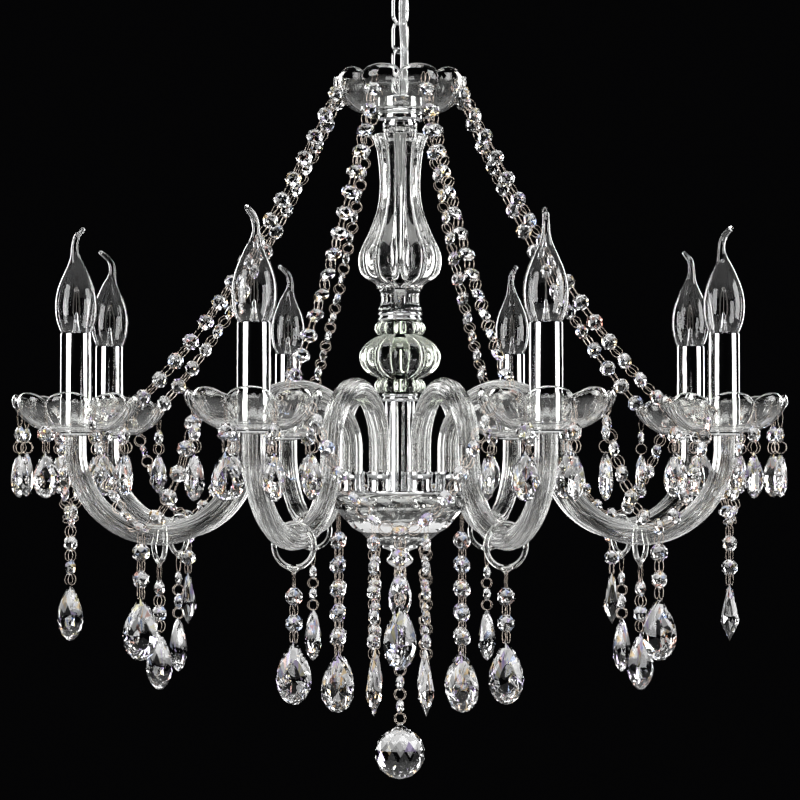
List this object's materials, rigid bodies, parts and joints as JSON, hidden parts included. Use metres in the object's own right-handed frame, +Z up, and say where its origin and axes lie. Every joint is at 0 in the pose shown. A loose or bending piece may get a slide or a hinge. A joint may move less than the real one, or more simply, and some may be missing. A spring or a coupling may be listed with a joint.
{
  "type": "crystal chandelier",
  "caption": "Chain-hung glass chandelier: fluted glass column, S-shaped glass arms with scalloped drip pans, chrome candles, bent-tip lamps, crystal garlands, swags, drops and a faceted ball.",
  "frame": {"origin": "centre of the top face of the ceiling bracket, midway between its two screw holes", "axes": "+Z up, against the ceiling; X along the bracket's screw line; -Y is the front, between two arms"},
  "size_m": [0.6382, 0.6382, 0.7406],
  "materials": {
    "chrome": "polished chrome plate",
    "zinc_steel": "bright zinc",
    "clear_glass": "clear polished glass",
    "cut_crystal": "clear cut crystal",
    "lamp_glass": "thin clear glass",
    "pin_wire": "bright wire",
    "clear_flex": "clear sheath over twisted cores",
    "grip_plastic": "moulded",
    "holder_plastic": "moulded"
  },
  "bodies": {
    "ceiling_mount": {"mounting_bracket": "zinc_steel", "bracket_nuts": "zinc_steel", "canopy_nipple": "zinc_steel", "canopy": "chrome", "cord_grip": "grip_plastic", "ceiling_hook": "chrome"},
    "chain_top": {"top_link": "chrome"},
    "fixture": {"arm_sockets": "chrome", "baluster": "clear_glass", "bobeche_drops": "cut_crystal", "bobeche_nuts": "chrome", "bobeches": "clear_glass", "bowl_cup": "chrome", "candle_sleeves": "chrome", "candle_stems": "zinc_steel", "central_rod": "zinc_steel", "chain_links": "chrome", "column_loop": "chrome", "column_rings": "chrome", "finial": "chrome", "garland_crystals": "cut_crystal", "garland_links": "pin_wire", "glass_arms": "clear_glass", "glass_ball": "clear_glass", "glass_collars": "clear_glass", "glass_spool": "clear_glass", "hub_bowl": "clear_glass", "hub_plate": "chrome", "lamp_holders": "holder_plastic", "lower_sleeve": "chrome", "power_cable": "clear_flex", "swag_crystals": "cut_crystal", "swag_drops": "cut_crystal", "swag_links": "pin_wire", "top_bowl": "clear_glass"},
    "lamp_1": {"bulb_1": "lamp_glass"},
    "lamp_2": {"bulb_2": "lamp_glass"},
    "lamp_3": {"bulb_3": "lamp_glass"},
    "lamp_4": {"bulb_4": "lamp_glass"},
    "lamp_5": {"bulb_5": "lamp_glass"},
    "lamp_6": {"bulb_6": "lamp_glass"},
    "lamp_7": {"bulb_7": "lamp_glass"},
    "lamp_8": {"bulb_8": "lamp_glass"},
    "arm_pendant_1": {"arm_drop_1": "cut_crystal"},
    "arm_pendant_2": {"arm_drop_2": "cut_crystal"},
    "arm_pendant_3": {"arm_drop_3": "cut_crystal"},
    "arm_pendant_4": {"arm_drop_4": "cut_crystal"},
    "arm_pendant_5": {"arm_drop_5": "cut_crystal"},
    "arm_pendant_6": {"arm_drop_6": "cut_crystal"},
    "arm_pendant_7": {"arm_drop_7": "cut_crystal"},
    "arm_pendant_8": {"arm_drop_8": "cut_crystal"},
    "hub_strand_1": {"hub_drop_1": "cut_crystal"},
    "hub_strand_2": {"hub_drop_2": "cut_crystal"},
    "hub_strand_3": {"hub_drop_3": "cut_crystal"},
    "hub_strand_4": {"hub_drop_4": "cut_crystal"},
    "hub_strand_5": {"hub_drop_5": "cut_crystal"},
    "hub_strand_6": {"hub_drop_6": "cut_crystal"},
    "hub_strand_7": {"hub_drop_7": "cut_crystal"},
    "hub_strand_8": {"hub_drop_8": "cut_crystal"},
    "ball_strand": {"ball_drop": "cut_crystal"}
  },
  "joints": [
    {"name": "hook_swing", "type": "hinge", "parent": "ceiling_mount", "child": "chain_top", "pos_m": [0, 0, -0.06], "axis": [0.7071, -0.7071, 0], "range_deg": [-8, 8], "deforming": ["power_cable"]},
    {"name": "link_swing", "type": "hinge", "parent": "chain_top", "child": "fixture", "pos_m": [0, 0, -0.0847], "axis": [0.7071, 0.7071, 0], "range_deg": [-8, 8], "deforming": ["power_cable"]},
    {"name": "lamp_turn_1", "type": "hinge", "parent": "fixture", "child": "lamp_1", "pos_m": [0.26608, 0.11021, -0.3613], "axis": [0, 0, 1], "range_deg": [0, 360]},
    {"name": "lamp_turn_2", "type": "hinge", "parent": "fixture", "child": "lamp_2", "pos_m": [0.11021, 0.26608, -0.3613], "axis": [0, 0, 1], "range_deg": [0, 360]},
    {"name": "lamp_turn_3", "type": "hinge", "parent": "fixture", "child": "lamp_3", "pos_m": [-0.11021, 0.26608, -0.3613], "axis": [0, 0, 1], "range_deg": [0, 360]},
    {"name": "lamp_turn_4", "type": "hinge", "parent": "fixture", "child": "lamp_4", "pos_m": [-0.26608, 0.11021, -0.3613], "axis": [0, 0, 1], "range_deg": [0, 360]},
    {"name": "lamp_turn_5", "type": "hinge", "parent": "fixture", "child": "lamp_5", "pos_m": [-0.26608, -0.11021, -0.3613], "axis": [0, 0, 1], "range_deg": [0, 360]},
    {"name": "lamp_turn_6", "type": "hinge", "parent": "fixture", "child": "lamp_6", "pos_m": [-0.11021, -0.26608, -0.3613], "axis": [0, 0, 1], "range_deg": [0, 360]},
    {"name": "lamp_turn_7", "type": "hinge", "parent": "fixture", "child": "lamp_7", "pos_m": [0.11021, -0.26608, -0.3613], "axis": [0, 0, 1], "range_deg": [0, 360]},
    {"name": "lamp_turn_8", "type": "hinge", "parent": "fixture", "child": "lamp_8", "pos_m": [0.26608, -0.11021, -0.3613], "axis": [0, 0, 1], "range_deg": [0, 360]},
    {"name": "arm_pendant_swing_1", "type": "hinge", "parent": "fixture", "child": "arm_pendant_1", "pos_m": [0.20002, 0.08285, -0.5268], "axis": [0.9239, 0.3827, 0], "range_deg": [-15, 15]},
    {"name": "arm_pendant_swing_2", "type": "hinge", "parent": "fixture", "child": "arm_pendant_2", "pos_m": [0.08285, 0.20002, -0.5268], "axis": [0.3827, 0.9239, 0], "range_deg": [-15, 15]},
    {"name": "arm_pendant_swing_3", "type": "hinge", "parent": "fixture", "child": "arm_pendant_3", "pos_m": [-0.08285, 0.20002, -0.5268], "axis": [-0.3827, 0.9239, 0], "range_deg": [-15, 15]},
    {"name": "arm_pendant_swing_4", "type": "hinge", "parent": "fixture", "child": "arm_pendant_4", "pos_m": [-0.20002, 0.08285, -0.5268], "axis": [-0.9239, 0.3827, 0], "range_deg": [-15, 15]},
    {"name": "arm_pendant_swing_5", "type": "hinge", "parent": "fixture", "child": "arm_pendant_5", "pos_m": [-0.20002, -0.08285, -0.5268], "axis": [-0.9239, -0.3827, 0], "range_deg": [-15, 15]},
    {"name": "arm_pendant_swing_6", "type": "hinge", "parent": "fixture", "child": "arm_pendant_6", "pos_m": [-0.08285, -0.20002, -0.5268], "axis": [-0.3827, -0.9239, 0], "range_deg": [-15, 15]},
    {"name": "arm_pendant_swing_7", "type": "hinge", "parent": "fixture", "child": "arm_pendant_7", "pos_m": [0.08285, -0.20002, -0.5268], "axis": [0.3827, -0.9239, 0], "range_deg": [-15, 15]},
    {"name": "arm_pendant_swing_8", "type": "hinge", "parent": "fixture", "child": "arm_pendant_8", "pos_m": [0.20002, -0.08285, -0.5268], "axis": [0.9239, -0.3827, 0], "range_deg": [-15, 15]},
    {"name": "hub_strand_swing_1", "type": "hinge", "parent": "fixture", "child": "hub_strand_1", "pos_m": [0.05349, 0.02216, -0.51278], "axis": [0.3827, -0.9239, 0], "range_deg": [-5, 25]},
    {"name": "hub_strand_swing_2", "type": "hinge", "parent": "fixture", "child": "hub_strand_2", "pos_m": [0.02216, 0.05349, -0.51278], "axis": [0.9239, -0.3827, 0], "range_deg": [-5, 25]},
    {"name": "hub_strand_swing_3", "type": "hinge", "parent": "fixture", "child": "hub_strand_3", "pos_m": [-0.02216, 0.05349, -0.51278], "axis": [0.9239, 0.3827, 0], "range_deg": [-5, 25]},
    {"name": "hub_strand_swing_4", "type": "hinge", "parent": "fixture", "child": "hub_strand_4", "pos_m": [-0.05349, 0.02216, -0.51278], "axis": [0.3827, 0.9239, 0], "range_deg": [-5, 25]},
    {"name": "hub_strand_swing_5", "type": "hinge", "parent": "fixture", "child": "hub_strand_5", "pos_m": [-0.05349, -0.02216, -0.51278], "axis": [-0.3827, 0.9239, 0], "range_deg": [-5, 25]},
    {"name": "hub_strand_swing_6", "type": "hinge", "parent": "fixture", "child": "hub_strand_6", "pos_m": [-0.02216, -0.05349, -0.51278], "axis": [-0.9239, 0.3827, 0], "range_deg": [-5, 25]},
    {"name": "hub_strand_swing_7", "type": "hinge", "parent": "fixture", "child": "hub_strand_7", "pos_m": [0.02216, -0.05349, -0.51278], "axis": [-0.9239, -0.3827, 0], "range_deg": [-5, 25]},
    {"name": "hub_strand_swing_8", "type": "hinge", "parent": "fixture", "child": "hub_strand_8", "pos_m": [0.05349, -0.02216, -0.51278], "axis": [-0.3827, -0.9239, 0], "range_deg": [-5, 25]},
    {"name": "ball_strand_swing", "type": "hinge", "parent": "fixture", "child": "ball_strand", "pos_m": [0, 0, -0.5603], "axis": [1, 0, 0], "range_deg": [-8, 8]}
  ]
}
